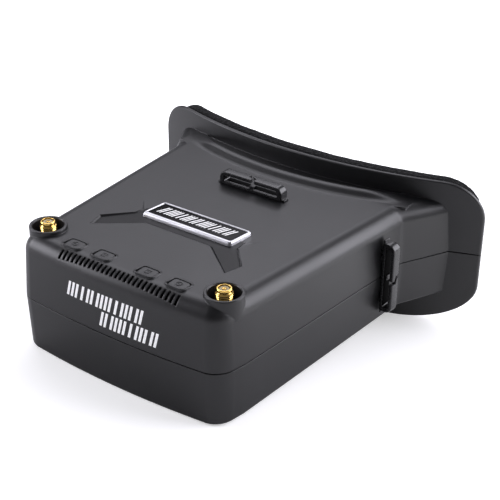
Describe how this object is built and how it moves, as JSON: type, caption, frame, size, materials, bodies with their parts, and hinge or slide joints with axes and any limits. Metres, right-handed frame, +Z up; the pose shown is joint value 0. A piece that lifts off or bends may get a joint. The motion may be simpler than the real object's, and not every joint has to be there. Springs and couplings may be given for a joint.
{
  "type": "fpv goggles",
  "caption": "Box-shaped video goggles with a flared face plate and foam pad, press keys on top, coaxial antenna sockets, a badge and split-bar strap clips.",
  "frame": {"origin": "on the table under the middle of the bounding box", "axes": "+X to the right seen from the front label side, -Y out of the front, +Z up; the case is at rest on a table, its nose end about 5.85 degrees low"},
  "size_m": [0.1592, 0.141, 0.0647],
  "materials": {
    "shell_black": "matte moulded plastic with a fine grain",
    "clip_black": "polished black moulded plastic",
    "badge_chrome": "bright plated rim",
    "connector_gold": "gold-plated brass",
    "insulator_white": "off-white fluoropolymer",
    "pad_foam": "soft black foam with a woven face",
    "lens_clear": "clear polished lens",
    "display_glass": "dark display glass",
    "board_green": "green solder mask",
    "steel": "plain tinned or zinc-plated steel",
    "battery_wrap": "blue shrink wrap",
    "lead_black": "flexible black insulation"
  },
  "bodies": {
    "case": {"antenna_connector_left": "connector_gold", "antenna_connector_right": "connector_gold", "antenna_contact_left": "connector_gold", "antenna_contact_right": "connector_gold", "antenna_insulator_left": "insulator_white", "antenna_insulator_right": "insulator_white", "av_socket": "clip_black", "badge_plate": "clip_black", "badge_rim": "badge_chrome", "battery_lead": "lead_black", "battery_pack": "battery_wrap", "case_screw_front_left": "steel", "case_screw_front_right": "steel", "case_screw_rear_left": "steel", "case_screw_rear_right": "steel", "charge_socket": "steel", "display_lead": "lead_black", "foam_face_pad": "pad_foam", "key_far_left_switch": "steel", "key_far_right_switch": "steel", "key_left_switch": "steel", "key_right_switch": "steel", "lcd_frame": "clip_black", "lcd_panel": "display_glass", "lens": "lens_clear", "lens_frame": "clip_black", "lower_shell": "shell_black", "main_board": "board_green", "power_switch_body": "steel", "receiver_shield_left": "steel", "receiver_shield_right": "steel", "socket_board": "board_green", "socket_lead": "lead_black", "strap_clip_left": "clip_black", "strap_clip_right": "clip_black", "strap_clip_top": "clip_black", "upper_shell": "shell_black"},
    "key_far_left": {"key_far_left": "shell_black", "key_far_left_plunger": "clip_black"},
    "key_left": {"key_left": "shell_black", "key_left_plunger": "clip_black"},
    "key_right": {"key_right": "shell_black", "key_right_plunger": "clip_black"},
    "key_far_right": {"key_far_right": "shell_black", "key_far_right_plunger": "clip_black"},
    "power_slider": {"power_slider": "clip_black"}
  },
  "joints": [
    {"name": "key_far_left_press", "type": "slide", "parent": "case", "child": "key_far_left", "axis": [0, 0.1019, -0.9948], "range_m": [0, 0.0005], "stiffness_N_per_m": 700, "springref_m": -0.0004},
    {"name": "key_left_press", "type": "slide", "parent": "case", "child": "key_left", "axis": [0, 0.1019, -0.9948], "range_m": [0, 0.0005], "stiffness_N_per_m": 700, "springref_m": -0.0004},
    {"name": "key_right_press", "type": "slide", "parent": "case", "child": "key_right", "axis": [0, 0.1019, -0.9948], "range_m": [0, 0.0005], "stiffness_N_per_m": 700, "springref_m": -0.0004},
    {"name": "key_far_right_press", "type": "slide", "parent": "case", "child": "key_far_right", "axis": [0, 0.1019, -0.9948], "range_m": [0, 0.0005], "stiffness_N_per_m": 700, "springref_m": -0.0004},
    {"name": "power_slide", "type": "slide", "parent": "case", "child": "power_slider", "axis": [-0.0929, 0.9905, 0.1015], "range_m": [0, 0.003]}
  ]
}
